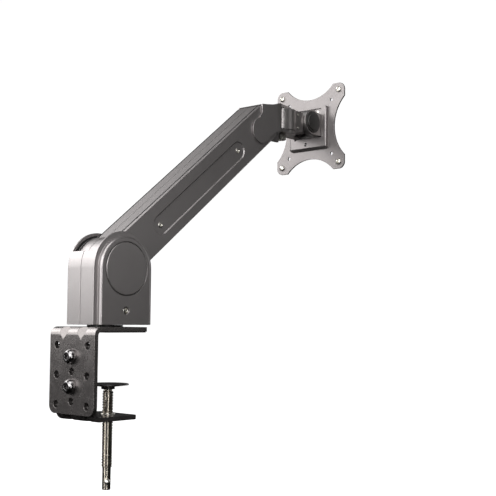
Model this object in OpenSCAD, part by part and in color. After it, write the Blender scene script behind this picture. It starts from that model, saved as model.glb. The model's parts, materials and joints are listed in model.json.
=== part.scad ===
// Gas-sprung desk arm for one flat screen, on a screw clamp for the desk's edge.
// X runs forward along the arm, Y to its left and Z up. The origin lies on the
// clamp screw's axis, on the face that rests on the desk.

/* [Clamp bracket] */
// Thickness of the pressed steel sheet
sheet = 5; // [4:0.5:5]
// Thickness of the foam pad between bracket and desk
desk_pad_t = 1; // [0.5:0.5:2]
// Width of the upper bracket
bracket_w = 76; // [72:1:84]
// Distance from the clamp screw's axis back to the front plate's outer face
plate_back = 51.5; // [50:0.5:60]
// Distance from the clamp screw's axis forward to the flange's tip
flange_reach = 24.6; // [24:0.5:30]
// Depth of the front plate below the desk face
plate_drop = 88; // [86:1:92]
// Outer radius of the sheet's bends
bend_r = 9; // [8:0.5:11]
// Radius of the front plate's lower corners
corner_r = 9; // [5:1:10]
// Radius of the flanges' front corners
tip_corner_r = 4; // [2:0.5:6]
// Half angle between the flanks of the pressed V ribs in the bends
rib_angle = 50; // [45:1:55]
// Distance of the ribs from the middle
rib_y = 15; // [14:0.5:20]
// Radius of every hole in the front plate
plate_hole_r = 4.2; // [4.2:0.1:4.5]
// Distance of the outer hole columns from the middle
hole_col_y = 26; // [24:0.5:27]
// Depth of the outer columns' first hole
hole_first_drop = 14; // [13:0.5:16]
// Pitch of the holes down the plate
hole_pitch = 32; // [30:0.5:33]
// Depth of the upper jaw bolt
jaw_bolt_drop = 26; // [25:0.5:28]

/* [Clamp jaw] */
// Width of the adjustable jaw
jaw_w = 63; // [62:1:66]
// Depth of the jaw's underside below the desk face
jaw_drop = 95; // [94:0.5:98]
// Distance from the clamp screw's axis forward to the jaw's tip
jaw_reach = 16; // [12:0.5:20]
// Depth of the top of the jaw's upright leg
jaw_leg_top = 12; // [10:1:14]
// Radius of the jaw bolts
jaw_bolt_r = 4; // [3:0.25:4]
// Radius of the jaw bolts' button heads
jaw_bolt_head_r = 8.2; // [7:0.1:8.5]

/* [Clamp screw] */
// Outer radius of the screw's thread
screw_r = 6; // [5:0.25:7]
// Pitch of the trapezoidal thread
screw_pitch = 3; // [2:0.5:4]
// Depth of the thread's lower end
thread_end_drop = 148.5; // [140:0.5:155]
// Depth of the screw's lower end
screw_end_drop = 173; // [168:0.5:180]
// Radius of the plain end below the thread
screw_shank_r = 4.8; // [4.3:0.1:4.8]
// Radius of the tommy bar
tommy_r = 2.3; // [1.8:0.1:2.6]
// Half of the tommy bar's length
tommy_half = 20; // [18:1:30]
// Radius of the tommy bar's ball ends
tommy_ball_r = 3.2; // [3:0.1:4]
// Angle of the tommy bar from the X axis
tommy_angle = 52.8; // [0:0.1:90]
// Radius of the pressure disc
disc_r = 23; // [18:0.5:26]
// Depth of the pressure disc's top face
disc_drop = 56.8; // [54:0.1:60]

/* [Base swivel and housing] */
// Distance of the swivel axis behind the clamp screw's axis
swivel_back = 6; // [0:0.5:8]
// Radius of the swivel post
post_r = 8; // [7:0.5:9]
// Radius of the black swivel disc
swivel_disc_r = 20; // [16:0.5:24]
// Thickness of the black swivel disc
swivel_disc_t = 2; // [2:0.25:4]
// Height of the arm's lower pivot above the desk face
pivot_z = 70; // [68:0.5:80]
// Radius of the housing's round back about the lower pivot
house_r = 41.7; // [41:0.1:46]
// Half width of the housing's body
house_half = 22.6; // [22:0.1:24]
// Half width over the raised cheeks
cheek_half = 28.4; // [28:0.1:30]
// Step from the housing's outline in to the cheek's outline
cheek_step = 5.6; // [4:0.1:6]
// Rounding of the cheek's edge
cheek_round = 3.2; // [1:0.1:3.5]
// Wall thickness of the plastic housing
house_wall = 2.4; // [2:0.1:2.6]
// Height at which the housing's back wall ends, above the lower pivot
back_wall_rise = 19; // [10:0.5:22]
// Height of the housing's front wall above the desk face
front_wall_z = 20; // [16:0.5:22]
// Radius of the round pivot caps
cap_r = 29.2; // [26:0.1:29.4]
// How far the pivot caps stand proud of the cheeks
cap_proud = 0.6; // [0:0.1:1]
// Height of the cover screws above the desk face
cover_screw_z = 24; // [22:0.5:28]

/* [Arm] */
// Rise of the arm above the horizontal, in degrees
arm_pitch = 38.4; // [30:0.1:45]
// Distance between the pivots along the arm
arm_len = 300; // [280:1:340]
// Height of the upper pivot above the arm's axis line
head_pivot_rise = 4.2; // [2:0.1:6]
// Height of the arm's top face above its axis line
arm_top = 31.4; // [31:0.1:34]
// Depth of the arm's bottom face below its axis line
arm_bottom = 18.3; // [18:0.1:20]
// Half width of the arm
arm_half = 19; // [18.9:0.1:19.4]
// Wall thickness of the arm's shells
arm_wall = 2.2; // [1.8:0.1:2.4]
// Radius of the arm's round lower hub
hub_r = 36.5; // [34:0.1:37]
// Radius of the arm's rounded upper end about the upper pivot
arm_end_r = 32; // [31:0.1:33]
// Distance from the lower pivot to the side recess's first screw
recess_start = 79.4; // [70:0.1:90]
// Distance from the side recess's second screw to the upper pivot
recess_short = 53.2; // [45:0.1:60]
// Height of the side recess's middle above the arm's axis line
recess_rise = 5.3; // [4:0.1:7]
// Radius of the side recess's round ends
recess_r = 11.6; // [9:0.1:12]
// Depth of the side recess
recess_depth = 1.2; // [0.4:0.1:1.2]

/* [Arm mechanism] */
// Radius of the two pivot shafts
shaft_r = 5; // [4.5:0.25:5]
// Distance of the parallel link's pins from the pivots
link_offset = 16; // [15:0.5:17]
// Direction of that offset, in degrees from the X axis
link_offset_angle = 100; // [95:1:110]
// Depth of the gas spring's lower pin below the lower pivot
spring_offset = 20; // [20:0.5:22]
// Distance along the arm from the gas spring's upper pin to the upper pivot
spring_short = 38; // [35:1:45]
// Height of the gas spring's upper pin above the arm's axis line
spring_rise = 6; // [5:0.5:8]
// Radius of the gas spring's cylinder
cylinder_r = 8.5; // [8:0.25:8.5]
// Length of the gas spring's cylinder
cylinder_len = 108; // [100:1:110]
// Radius of the gas spring's rod
rod_r = 4; // [3:0.25:4]

/* [Head] */
// Distance of the head swivel's axis in front of the arm's upper pivot
head_reach = 62.5; // [61:0.5:66]
// Radius of the knuckle's barrel
barrel_r = 21.5; // [19:0.25:21.5]
// Height of the barrel's underside above the arm's upper pivot
barrel_rise = 9.9; // [9:0.1:11]
// Height of the barrel
barrel_h = 28; // [26:0.5:30]
// Distance from the head swivel's axis to the tilt axis
tilt_reach = 41; // [40:0.5:44]
// Height of the tilt axis above the barrel's underside
tilt_rise = 16.5; // [15:0.5:18]
// Radius of the tilt block's round cheeks
tilt_r = 17; // [16:0.25:18]
// Half width over the tilt block's cheeks
tilt_half = 23.4; // [22:0.1:24]

/* [Screen plate] */
// Distance from the tilt axis forward to the screen plate's back face
plate_reach = 22.5; // [22:0.5:25]
// Height of the screen plate's middle below the tilt axis
plate_lower = 4.5; // [2:0.5:6]
// Thickness of the screen plate
plate_t = 2.5; // [2:0.25:3]
// Width of the square receiver
receiver_w = 64; // [60:1:66]
// Height of the square receiver
receiver_h = 60; // [58:1:62]
// Thickness of the receiver over its rim
receiver_t = 5; // [4.5:0.25:5.5]
// Spacing of the screen's outer fixing screws
vesa_wide = 100; // [100:100]
// Spacing of the screen plate's inner holes
vesa_narrow = 75; // [75:75]
// Radius of the screen plate's inner holes
vesa_hole_r = 2.25; // [2.1:0.05:2.6]
// Radius of the screen plate's lobes about the outer screws
lobe_r = 9.5; // [8:0.5:11]
// Distance from the plate's middle to its waist
waist = 42; // [40:0.5:46]

/* [Hidden] */
$fn = 64;

// Clearances
run_gap = 0.05;     // radial clearance of a shaft that turns or slides in a bore
side_gap = 0.3;     // gap between faces that move past each other
seam = 0.6;         // visible joint line between two covers
past = 1;           // how far a cutting shape runs past the face that it cuts

// Clamp bracket
flange_top = desk_pad_t + sheet;
leg_x = -plate_back + sheet;                 // face of the front plate that the jaw leans on
rib_chord = 13.5;                            // length of a rib along each face
rib_root = 0.5;                              // half width of a rib's flat root
jaw_bolt_rows = [-jaw_bolt_drop, -jaw_bolt_drop - hole_pitch];
index_rows = [for (z = jaw_bolt_rows) z - hole_pitch / 2];
outer_rows = [for (i = [0:2]) -hole_first_drop - i * hole_pitch];
jaw_bolt_head_h = 7.5;
jaw_bolt_rim = 1.2;                          // straight rim below the head's dome
jaw_bolt_socket_af = 6;
jaw_bolt_socket_h = 4;
jaw_nut_af = 13;
jaw_nut_h = 4;

// Clamp screw
thread_depth = 0.45 * screw_pitch;
jaw_top = -jaw_drop + sheet;
jaw_nut_r = screw_r + 2;
jaw_nut_rise = 0.8;
disc_t = 1.5;
disc_hub_r = 7.5;
disc_hub_drop = 6;                           // depth of the hub's end below the disc's top
nose_r = 4;
nose_top = -disc_drop - 2;
shoulder_z = -disc_drop - disc_hub_drop - side_gap;
tommy_z = -screw_end_drop + 11;

// Swivel
disc_z = flange_top + swivel_disc_t;
house_z = disc_z + side_gap;                 // underside of everything that swivels
frame_t = 4;
bush_wall = 2;
bush_flange_r = 11.4;
bush_flange_t = 1;
post_shoulder = house_z + frame_t + bush_flange_t + side_gap;
post_thread_r = 6;
post_washer_t = 2;
post_washer_r = 11.4;
post_nut_af = 18;
post_nut_h = 7;

// Lower pivot, from the middle outwards
ear_in = 12;
ear_t = 3;
ear_half = 12;                               // half length of the ears along X
ear_hub_r = 14;
ear_top_r = 9;
channel_in = ear_in + ear_t + side_gap;
channel_t = arm_half - arm_wall - channel_in;
slot_half = house_half - house_wall;
pivot_washer_r = 12;
pivot_washer_t = 1.5;
pivot_nut_af = 16;
pivot_nut_h = 3.6;
shaft_half = arm_half + side_gap + pivot_washer_t + pivot_nut_h;
cap_t = 1.8;
cap_ledge = 3;
cap_round = 0.9;
cap_gap = 0.8;                               // groove round a pivot cap
cap_lip = 2.7;                               // how far a cap overlaps the housing's opening
cap_spigot = 1.5;                            // wall of the ring on a cap's back
cover_screw_r = 2;
cover_screw_head_r = 3.7;
cover_screw_head_h = 1.8;

// Arm
hub_rim_end = 187;                           // angle at which the hub's rim ends, in the arm's frame
spring_slot_end = 96;                        // end of the underside's opening near the hub
cable_slot_start = arm_len - 34;             // start of the underside's opening for the cables
recess_end = arm_len - recess_short;
spring_far = arm_len - spring_short;
edge_bevel = 1.6;                            // bevel along the arm's upper edges
low_bevel = 1.5;                             // bevel along the arm's lower edges
bevel_start = 22;                            // where both bevels start, past the hub
edge_groove_in = 1.9;                        // from the arm's side to the groove beside the bevel
edge_groove_w = 1.4;
edge_groove_t = 0.9;
bush_r = 8;
upper_shaft_half = arm_half - 0.1;
pin_r = 3;
spring_pin_r = 4;
link_t = 3;
link_y = 9.9;                                // middle of the parallel link's thickness
spring_y = -2.6;                             // middle of the gas spring
eye_t = 8;
eye_r = 10;
eye_play = 2.7;                              // free play of the rod's eye on its pin
eye_shift = [0.75, 0, 0.95];                 // middle of that play in the spring's own frame
cylinder_near = 12;                          // from the upper pin to the cylinder's closed end
piston_rest = 31.3;                          // from the cylinder's closed end to the piston's face
piston_t = 8;
cylinder_wall = 1.4;
gland_len = 10;

upper_x = arm_len * cos(arm_pitch) - head_pivot_rise * sin(arm_pitch);
upper_z = pivot_z + arm_len * sin(arm_pitch) + head_pivot_rise * cos(arm_pitch);
link_dx = link_offset * cos(link_offset_angle);
link_dz = link_offset * sin(link_offset_angle);
spring_top_x = spring_far * cos(arm_pitch) - spring_rise * sin(arm_pitch);
spring_top_z = pivot_z + spring_far * sin(arm_pitch) + spring_rise * cos(arm_pitch);
spring_low_z = pivot_z - spring_offset;
spring_span = norm([spring_top_x, spring_top_z - spring_low_z]);
spring_angle = atan2(spring_top_z - spring_low_z, spring_top_x);
cylinder_end = spring_span - cylinder_near;
cylinder_start = cylinder_end - cylinder_len;
piston_far = cylinder_end - piston_rest;

// Head
head_axis_x = upper_x + head_reach;
barrel_z = upper_z + barrel_rise;
knuckle_screw_rise = 0.6;
yoke_half = arm_half + side_gap;
cover_t = 1.9;
yoke_plate_t = 3.7;
yoke_base_t = 4.7;
yoke_top_z = barrel_z + barrel_h + side_gap;
yoke_base_z = barrel_z - side_gap - yoke_base_t;
lug_in = ear_in;
lip_r = 14.3;
base_lip_r = 20;
head_pin_r = 4;
head_pin_head_r = 6.5;
head_pin_head_h = 4;
head_nut_af = 13;
head_nut_h = 7;
tilt_x = head_axis_x + tilt_reach;
tilt_z = barrel_z + tilt_rise;
tongue_half = 13;
tongue_r = 14;
neck_half = 20;
tilt_bolt_r = 4;
tilt_cap_r = 14.5;
tilt_cap_rise = 2.5;
tilt_cap_flange = 1.1;                       // height of the flange round the cap's middle
tilt_cap_step = 2.4;                         // width of that flange
cover_boss_r = 16.8;
// Rear edge, top and front of the yoke's side covers, about the upper pivot
cover_edge = [[-10.5, 7.9], [-3.8, 13.9], [-3.5, 18.4], [0.5, 23.4], [0.5, 34.9], [30, 37.9],
              [30.8, 32.4], [33, 22.9], [35, 14.9], [36.5, 4.9], [32.4, 3.2], [23.9, -1.5],
              [15.5, -6.9], [5.5, -12.1]];

// Screen plate
plate_x = tilt_x + plate_reach;
plate_z = tilt_z - plate_lower;
receiver_x = plate_x - receiver_t;
recess_floor_x = plate_x - 2.5;
receiver_side_rim = 8;
receiver_low_rim = 15;
receiver_top_rim = 3;
receiver_bevel = 3.6;                        // bevel along the receiver's lower edge
lock_screw_y = 3.6;
lock_screw_rise = 8.4;                       // from the receiver's lower edge
rivet_y = 16;
rivet_rows = [-receiver_h / 2 + 20, receiver_h / 2 - 7.5];
foot_x = tilt_x + tongue_r + 0.4;
screen_screw_r = 2;
screen_screw_neck_r = 1.7;                   // plain neck inside the plate's hole
screen_screw_head_r = 4;
screen_screw_head_h = 2.6;
screen_screw_reach = 9;                      // thread in front of the plate

// ---- helpers -------------------------------------------------------------

// A side-view outline (X, Z) given thickness between two Y planes
module slab(y0, y1) {
    translate([0, y1, 0]) rotate([90, 0, 0]) linear_extrude(y1 - y0) children();
}

// The same thing on both sides of the middle plane
module both() {
    children();
    mirror([0, 1, 0]) children();
}

module rod_y(r, y0, y1) {
    translate([0, y0, 0]) rotate([-90, 0, 0]) cylinder(r = r, h = y1 - y0);
}

module rod_x(r, x0, x1) {
    translate([x0, 0, 0]) rotate([0, 90, 0]) cylinder(r = r, h = x1 - x0);
}

module hex(af, h) {
    cylinder(r = af / sqrt(3), h = h, $fn = 6);
}

// Rectangle from one corner to the other with its chosen corners rounded
module soft_rect(a, b, r, corners = [1, 1, 1, 1]) {
    spots = [[a[0] + r, a[1] + r], [b[0] - r, a[1] + r], [b[0] - r, b[1] - r], [a[0] + r, b[1] - r]];
    difference() {
        translate(a) square(b - a);
        for (i = [0:3]) if (corners[i] == 1)
            translate(spots[i]) difference() {
                rotate(180 + 90 * i) square(r + past);
                circle(r);
            }
    }
}

// The arm's own frame: X along the arm from the lower pivot
module in_arm() {
    translate([0, 0, pivot_z]) rotate([0, -arm_pitch, 0]) children();
}

// The gas spring's own frame: X along the spring from its lower pin
module in_spring() {
    translate([0, spring_y, spring_low_z]) rotate([0, -spring_angle, 0]) children();
}

// ---- clamp ---------------------------------------------------------------

// Bent sheet seen from the side: a flange and a leg that meet in a rounded bend
module bent_sheet(leg_face, leg_end, flange_face, tip, up) {
    inner_r = bend_r - sheet;
    corner = [leg_face + bend_r, flange_face - up * bend_r];
    difference() {
        union() {
            translate([leg_face, min(leg_end, flange_face - up * bend_r)])
                square([sheet, abs(flange_face - up * bend_r - leg_end)]);
            translate([leg_face + bend_r, min(flange_face, flange_face - up * sheet)])
                square([tip - leg_face - bend_r, sheet]);
            intersection() {
                translate(corner) circle(bend_r);
                translate([leg_face, min(corner[1], flange_face)]) square(bend_r);
            }
        }
        translate(corner) circle(inner_r);
    }
}

// A V bar across the bend at 45 degrees: with no growth the dent, with the sheet's
// thickness added the inner skin of the rib
module rib_bar(leg_face, flange_face, up, grow) {
    root = rib_chord / sqrt(2) + grow;
    tip = rib_chord / sqrt(2) + rib_root / tan(rib_angle) + grow / sin(rib_angle);
    root_half = (tip - root) * tan(rib_angle);
    open_half = (tip + bend_r) * tan(rib_angle);
    for (side = [-1, 1])
        translate([leg_face, side * rib_y, flange_face]) rotate([0, -up * 45, 0])
            rotate([90, 0, 90]) linear_extrude(8 * bend_r, center = true)
                polygon([[-open_half, up * bend_r], [-root_half, -up * root],
                         [root_half, -up * root], [open_half, up * bend_r]]);
}

module rib_skin(leg_face, flange_face, up) {
    intersection() {
        rib_bar(leg_face, flange_face, up, sheet);
        translate([leg_face + sheet - past, -jaw_w, min(flange_face, flange_face - up * (rib_chord + sheet * 2))])
            translate([0, 0, up > 0 ? 0 : sheet - past])
                cube([rib_chord + past, 2 * jaw_w, rib_chord + sheet + past]);
    }
}

module plate_holes(rows, ys) {
    for (z = rows, y = ys)
        translate([0, y, z]) rod_x(plate_hole_r, -plate_back - past, leg_x + sheet + past);
}

module all_plate_holes() {
    plate_holes(outer_rows, [-hole_col_y, hole_col_y]);
    plate_holes(concat(jaw_bolt_rows, index_rows), [0]);
}

module upper_bracket() color([0.24, 0.23, 0.23]) {
    half = bracket_w / 2;
    difference() {
        intersection() {
            union() {
                slab(-half, half) bent_sheet(-plate_back, -plate_drop, flange_top, flange_reach, 1);
                rib_skin(-plate_back, flange_top, 1);
            }
            union() {
                translate([-plate_back - past, 0, 0]) rotate([90, 0, 90])
                    linear_extrude(bend_r + past)
                        soft_rect([-half, -plate_drop], [half, flange_top + past], corner_r,
                                  [1, 1, 0, 0]);
                translate([0, 0, -2 * bend_r]) linear_extrude(flange_top + 2 * bend_r + past)
                    soft_rect([-plate_back + bend_r - past, -half], [flange_reach, half],
                              tip_corner_r, [0, 1, 1, 0]);
            }
        }
        rib_bar(-plate_back, flange_top, 1, 0);
        all_plate_holes();
        translate([-swivel_back, 0, 0]) cylinder(r = post_r, h = flange_top + past);
    }
}

module desk_pad() color([0.08, 0.08, 0.08])
    linear_extrude(desk_pad_t)
        soft_rect([leg_x + rib_chord - past, past - bracket_w / 2],
                  [flange_reach - past, bracket_w / 2 - past], tip_corner_r);

module lower_jaw() color([0.2, 0.19, 0.19]) {
    half = jaw_w / 2;
    difference() {
        intersection() {
            union() {
                slab(-half, half) bent_sheet(leg_x, -jaw_leg_top, -jaw_drop, jaw_reach, -1);
                rib_skin(leg_x, -jaw_drop, -1);
            }
            union() {
                translate([leg_x - past, 0, 0]) rotate([90, 0, 90]) linear_extrude(bend_r + past)
                    soft_rect([-half, -jaw_drop - past], [half, -jaw_leg_top], tip_corner_r,
                              [0, 0, 1, 1]);
                translate([0, 0, -jaw_drop - past]) linear_extrude(2 * bend_r)
                    soft_rect([leg_x + bend_r - past, -half], [jaw_reach, half], tip_corner_r,
                              [0, 1, 1, 0]);
            }
        }
        rib_bar(leg_x, -jaw_drop, -1, 0);
        all_plate_holes();
        translate([0, 0, -jaw_drop - past]) cylinder(r = jaw_nut_r, h = sheet + 2 * past);
    }
}

module jaw_nut() color([0.55, 0.53, 0.5])
    translate([0, 0, -jaw_drop]) difference() {
        cylinder(r = jaw_nut_r, h = sheet + jaw_nut_rise);
        translate([0, 0, -past]) cylinder(r = screw_r + run_gap, h = sheet + 3 * past);
    }

// Two button-headed bolts with hexagon sockets
module jaw_bolts() color([0.12, 0.12, 0.12])
    for (z = jaw_bolt_rows) translate([-plate_back, 0, z]) difference() {
        union() {
            rotate([0, -90, 0]) rotate_extrude() intersection() {
                square([jaw_bolt_head_r, jaw_bolt_head_h]);
                union() {
                    translate([0, jaw_bolt_rim]) circle(jaw_bolt_head_r);
                    square([jaw_bolt_head_r, jaw_bolt_rim]);
                }
            }
            rod_x(jaw_bolt_r, -past, 2 * sheet + jaw_nut_h + past);
        }
        translate([-jaw_bolt_head_h - past, 0, 0]) rotate([0, 90, 0])
            hex(jaw_bolt_socket_af, past + jaw_bolt_socket_h);
    }

module jaw_bolt_nuts() color([0.45, 0.44, 0.42])
    for (z = jaw_bolt_rows) translate([leg_x + sheet, 0, z]) rotate([0, 90, 0])
        difference() {
            hex(jaw_nut_af, jaw_nut_h);
            translate([0, 0, -past]) cylinder(r = jaw_bolt_r, h = jaw_nut_h + 2 * past);
        }

module swivel_post() color([0.5, 0.49, 0.47])
    translate([-swivel_back, 0, 0]) {
        translate([0, 0, desk_pad_t]) cylinder(r = post_r, h = post_shoulder - desk_pad_t);
        translate([0, 0, desk_pad_t])
            cylinder(r = post_thread_r, h = post_shoulder + post_washer_t + post_nut_h + 0.4);
    }

// ---- clamp screw ---------------------------------------------------------

module pressure_disc() color([0.1, 0.1, 0.1])
    translate([0, 0, -disc_drop]) rotate_extrude() polygon([
        [0, 0], [disc_r - 0.4, 0], [disc_r, -0.4], [disc_r, -disc_t],
        [disc_hub_r, -disc_t - 1.9], [disc_hub_r, -disc_hub_drop],
        [nose_r + run_gap, -disc_hub_drop], [nose_r + run_gap, -1], [0, -1]
    ]);

// Trapezoidal thread drawn as rings, with a plain shank and a cross hole below it
module screw_rod() color([0.62, 0.58, 0.5]) {
    turns = floor((thread_end_drop + shoulder_z - 2) / screw_pitch);
    crest = 0.37 * screw_pitch;
    flank = thread_depth * tan(15);
    root_r = screw_r - thread_depth;
    top = -thread_end_drop + turns * screw_pitch;
    difference() {
        rotate_extrude() polygon(concat(
            [[0, -screw_end_drop], [screw_shank_r - 0.6, -screw_end_drop],
             [screw_shank_r, -screw_end_drop + 0.6], [screw_shank_r, -thread_end_drop]],
            [for (i = [0:turns - 1], p = [0:3])
                [p == 1 || p == 2 ? screw_r : root_r,
                 -thread_end_drop + i * screw_pitch
                 + [0.3, 0.3 + flank, 0.3 + flank + crest, 0.3 + 2 * flank + crest][p]]],
            [[root_r, top], [screw_shank_r, top], [screw_shank_r, shoulder_z],
             [nose_r, shoulder_z], [nose_r, nose_top - 0.5], [nose_r - 0.5, nose_top],
             [0, nose_top]]
        ));
        translate([0, 0, tommy_z]) rotate([0, 0, tommy_angle])
            rod_x(tommy_r + run_gap, -screw_r - past, screw_r + past);
    }
}

module tommy_bar() color([0.6, 0.57, 0.5])
    translate([0, 0, tommy_z]) rotate([0, 0, tommy_angle]) {
        ball_at = tommy_half - tommy_ball_r;
        rod_x(tommy_r, -ball_at, ball_at);
        for (side = [-1, 1]) translate([side * ball_at, 0, 0]) sphere(r = tommy_ball_r);
    }

// ---- base swivel ---------------------------------------------------------

module swivel_disc() color([0.05, 0.05, 0.05])
    translate([-swivel_back, 0, flange_top]) difference() {
        cylinder(r = swivel_disc_r, h = swivel_disc_t);
        translate([0, 0, -past]) cylinder(r = post_r + run_gap, h = swivel_disc_t + 2 * past);
    }

module post_washer() color([0.55, 0.54, 0.52])
    translate([-swivel_back, 0, post_shoulder]) difference() {
        cylinder(r = post_washer_r, h = post_washer_t);
        translate([0, 0, -past]) cylinder(r = post_thread_r, h = post_washer_t + 2 * past);
    }

module post_nut() color([0.5, 0.49, 0.47])
    translate([-swivel_back, 0, post_shoulder + post_washer_t]) difference() {
        hex(post_nut_af, post_nut_h);
        translate([0, 0, -past]) cylinder(r = post_thread_r, h = post_nut_h + 2 * past);
    }

// Steel frame inside the housing: a foot plate and two ears that carry the pivots
module base_frame() color([0.35, 0.34, 0.34]) difference() {
    union() {
        translate([0, 0, house_z]) linear_extrude(frame_t)
            soft_rect([-house_r + house_wall + 0.3, -slot_half + 0.3],
                      [house_r - house_wall - 0.3, slot_half - 0.3], 5);
        both() slab(ear_in, ear_in + ear_t) {
            translate([-ear_half, house_z]) square([2 * ear_half, pivot_z - house_z]);
            translate([0, pivot_z]) circle(ear_hub_r);
            translate([link_dx, pivot_z + link_dz]) circle(ear_top_r);
        }
    }
    translate([-swivel_back, 0, house_z - past])
        cylinder(r = post_r + run_gap + bush_wall, h = frame_t + 2 * past);
    wide = ear_in + ear_t + past;
    translate([0, 0, pivot_z]) rod_y(shaft_r, -wide, wide);
    translate([link_dx, 0, pivot_z + link_dz]) rod_y(pin_r, -wide, wide);
    translate([0, 0, spring_low_z]) rod_y(spring_pin_r, -wide, wide);
    translate([0, 0, cover_screw_z]) rod_y(cover_screw_r, -wide, wide);
}

module swivel_bush() color([0.15, 0.15, 0.15])
    translate([-swivel_back, 0, house_z]) difference() {
        union() {
            cylinder(r = post_r + run_gap + bush_wall, h = frame_t);
            translate([0, 0, frame_t]) cylinder(r = bush_flange_r, h = bush_flange_t);
        }
        translate([0, 0, -past]) cylinder(r = post_r + run_gap, h = frame_t + 4 * past);
    }

// Arch with a round top about the lower pivot and straight sides to the foot
module arch(r, low = 0) {
    translate([0, pivot_z]) circle(r);
    translate([-r, house_z - low]) square([2 * r, pivot_z - house_z + low]);
}

// Raised cheek with a rounded edge
module cheek() {
    r = house_r - cheek_step;
    translate([0, 0, pivot_z]) rotate([-90, 0, 0]) rotate_extrude()
        soft_rect([0, slot_half], [r, cheek_half], cheek_round, [0, 0, 1, 0]);
    translate([0, 0, house_z]) linear_extrude(pivot_z - house_z)
        soft_rect([-r, slot_half], [r, cheek_half], cheek_round, [0, 0, 1, 1]);
}

module housing_half() {
    cavity_r = house_r - cheek_step - 5;
    inner = house_r - house_wall;
    difference() {
        union() {
            slab(seam / 2, house_half) arch(house_r);
            cheek();
        }
        slab(0, slot_half) arch(inner, past);
        slab(0, slot_half) translate([0, front_wall_z]) square([house_r + past, 2 * pivot_z]);
        slab(0, slot_half) translate([-house_r - past, pivot_z + back_wall_rise])
            square([house_r + 2 * past, pivot_z]);
        difference() {
            slab(slot_half - past, cheek_half - cap_ledge) difference() {
                arch(cavity_r);
                translate([-cavity_r - past, house_z - past])
                    square([2 * (cavity_r + past), house_wall + past]);
            }
            translate([0, 0, cover_screw_z]) rod_y(4.5, 0, cheek_half);
        }
        translate([0, 0, pivot_z]) rod_y(cap_r - cap_lip, slot_half, cheek_half + past);
        translate([0, 0, pivot_z]) rod_y(cap_r + cap_gap, cheek_half - cap_t, cheek_half + past);
        translate([0, 0, cover_screw_z]) {
            rod_y(cover_screw_head_r + 0.3, cheek_half - cap_t, cheek_half + past);
            rod_y(cover_screw_r, 0, cheek_half);
        }
    }
    // post that meets the frame's ear
    difference() {
        translate([0, 0, cover_screw_z]) rod_y(4.5, ear_in + ear_t, slot_half + past);
        translate([0, 0, cover_screw_z]) rod_y(cover_screw_r, 0, cheek_half);
    }
}

module housing_left() color([0.32, 0.3, 0.3]) housing_half();
module housing_right() color([0.32, 0.3, 0.3]) mirror([0, 1, 0]) housing_half();

// Round cap with a softened edge and a ring on its back that fits the opening
module pivot_cap() translate([0, 0, pivot_z]) {
    rotate([-90, 0, 0]) rotate_extrude()
        soft_rect([0, cheek_half - cap_t], [cap_r, cheek_half + cap_proud], cap_round,
                  [0, 0, 1, 0]);
    difference() {
        rod_y(cap_r - cap_lip, cheek_half - cap_ledge - cap_gap, cheek_half - cap_t);
        rod_y(cap_r - cap_lip - cap_spigot, cheek_half - cap_ledge - past, cheek_half - cap_t);
    }
}
module pivot_cap_left() color([0.34, 0.33, 0.33]) pivot_cap();
module pivot_cap_right() color([0.34, 0.33, 0.33]) mirror([0, 1, 0]) pivot_cap();

module housing_screws() color([0.1, 0.1, 0.1])
    both() translate([0, 0, cover_screw_z]) difference() {
        union() {
            rod_y(cover_screw_head_r, cheek_half - cap_t, cheek_half - cap_t + cover_screw_head_h - 0.4);
            rod_y(cover_screw_r, ear_in, cheek_half - cap_t);
        }
        translate([0, cheek_half - cap_t + cover_screw_head_h - 1.4, 0]) rotate([-90, 0, 0]) hex(2.5, 3);
    }

module lower_shaft() color([0.55, 0.54, 0.52])
    translate([0, 0, pivot_z]) rod_y(shaft_r, -shaft_half, shaft_half);

module lower_washers() color([0.55, 0.54, 0.52])
    both() translate([0, 0, pivot_z]) difference() {
        rod_y(pivot_washer_r, arm_half + side_gap, arm_half + side_gap + pivot_washer_t);
        rod_y(shaft_r, arm_half, shaft_half + past);
    }

module lower_nuts() color([0.5, 0.49, 0.47])
    both() translate([0, 0, pivot_z]) difference() {
        translate([0, shaft_half - pivot_nut_h, 0]) rotate([-90, 0, 0]) hex(pivot_nut_af, pivot_nut_h);
        rod_y(shaft_r, arm_half, shaft_half + past);
    }

module link_pin_lower() color([0.55, 0.54, 0.52])
    translate([link_dx, 0, pivot_z + link_dz]) rod_y(pin_r, -ear_in - ear_t, ear_in + ear_t);

module spring_pin_lower() color([0.55, 0.54, 0.52])
    translate([0, 0, spring_low_z]) rod_y(spring_pin_r, -ear_in - ear_t, ear_in + ear_t);

// ---- parallel link -------------------------------------------------------

module parallel_link() color([0.4, 0.39, 0.38]) {
    reach = norm([arm_len, head_pivot_rise]);
    tilt = atan2(head_pivot_rise, arm_len);
    in_arm() rotate([0, arm_pitch - link_offset_angle, 0]) translate([link_offset, 0, 0])
        rotate([0, link_offset_angle - arm_pitch - tilt, 0])
            slab(link_y - link_t / 2, link_y + link_t / 2) difference() {
                union() {
                    for (u = [0, reach]) translate([u, 0]) circle(7);
                    translate([0, -3.5]) square([reach, 7]);
                }
                for (u = [0, reach]) translate([u, 0]) circle(pin_r + run_gap);
            }
}

// ---- arm -----------------------------------------------------------------

module arm_outline(inset = 0) {
    low = inset - arm_bottom;
    tall = arm_top + arm_bottom - 2 * inset;
    circle(hub_r - inset);
    translate([0, low]) square([arm_len, tall]);
    intersection() {
        translate([arm_len - past, low]) square([2 * arm_end_r, tall]);
        translate([arm_len, head_pivot_rise]) circle(arm_end_r - inset);
    }
}

module arm_hollow() {
    circle(hub_r - arm_wall);
    translate([0, arm_wall - arm_bottom])
        square([arm_len + 2 * arm_end_r, arm_top + arm_bottom - 2 * arm_wall]);
    // opening under the hub and along the gas spring's foot
    polygon([[0, 0], [-80, 80 * tan(hub_rim_end - 180) * -1], [-80, -80],
             [spring_slot_end, -80], [spring_slot_end, 0]]);
    translate([cable_slot_start, -80]) square([arm_len, 80]);
}

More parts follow.
